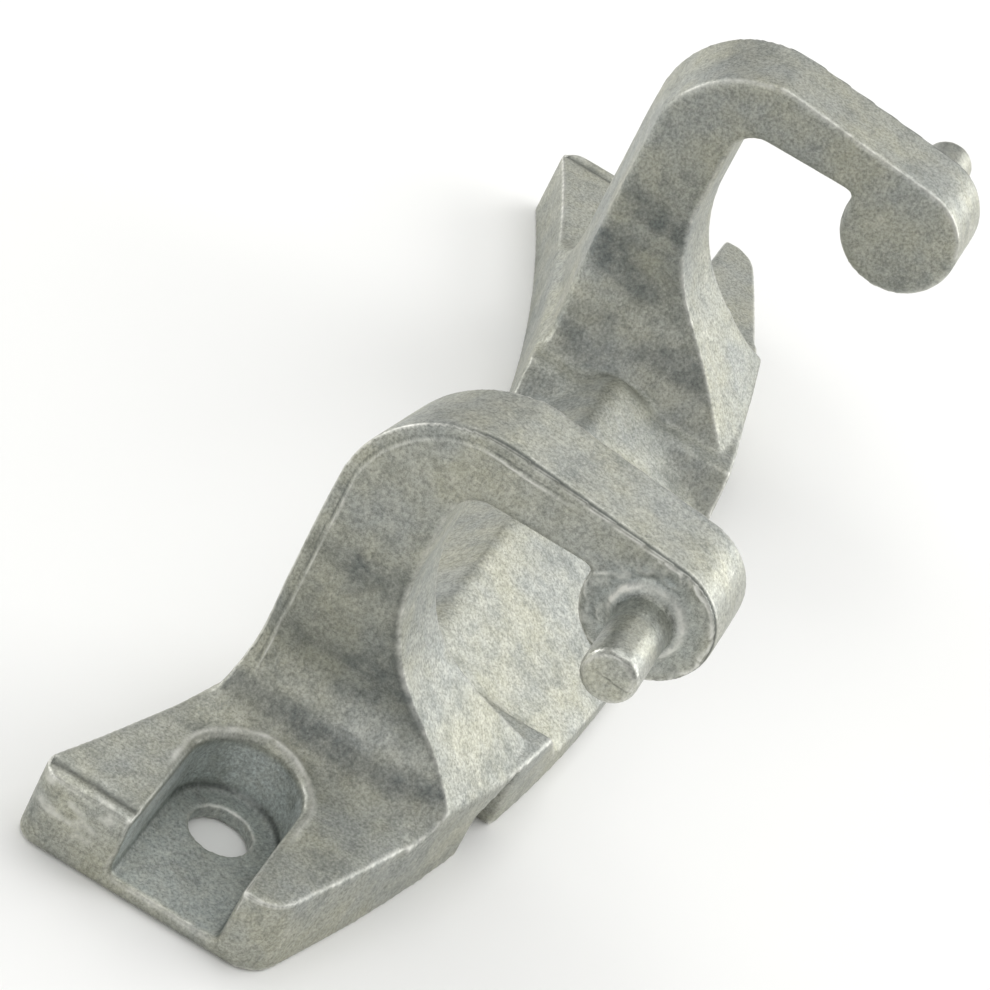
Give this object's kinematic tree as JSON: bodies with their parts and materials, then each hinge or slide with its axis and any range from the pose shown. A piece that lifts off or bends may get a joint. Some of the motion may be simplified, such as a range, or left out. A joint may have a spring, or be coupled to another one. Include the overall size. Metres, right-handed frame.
{
  "type": "die-cast door hinge bracket",
  "caption": "Curved die-cast bar with a gooseneck arm near each end, outward pivot pins on the arms and a recessed screw foot beyond each arm.",
  "frame": {"origin": "on the flat back face, midway between the two screw holes", "axes": "+X along the pivot pins, from one foot to the other; +Y the way the arms hook; +Z out of the mounting surface, towards the top of the arms"},
  "size_m": [0.1438, 0.0456, 0.0467],
  "materials": {
    "cast_zinc": "as cast, matt to satin, mottled grey"
  },
  "bodies": {
    "root": {"hinge_casting": "cast_zinc"}
  },
  "joints": []
}
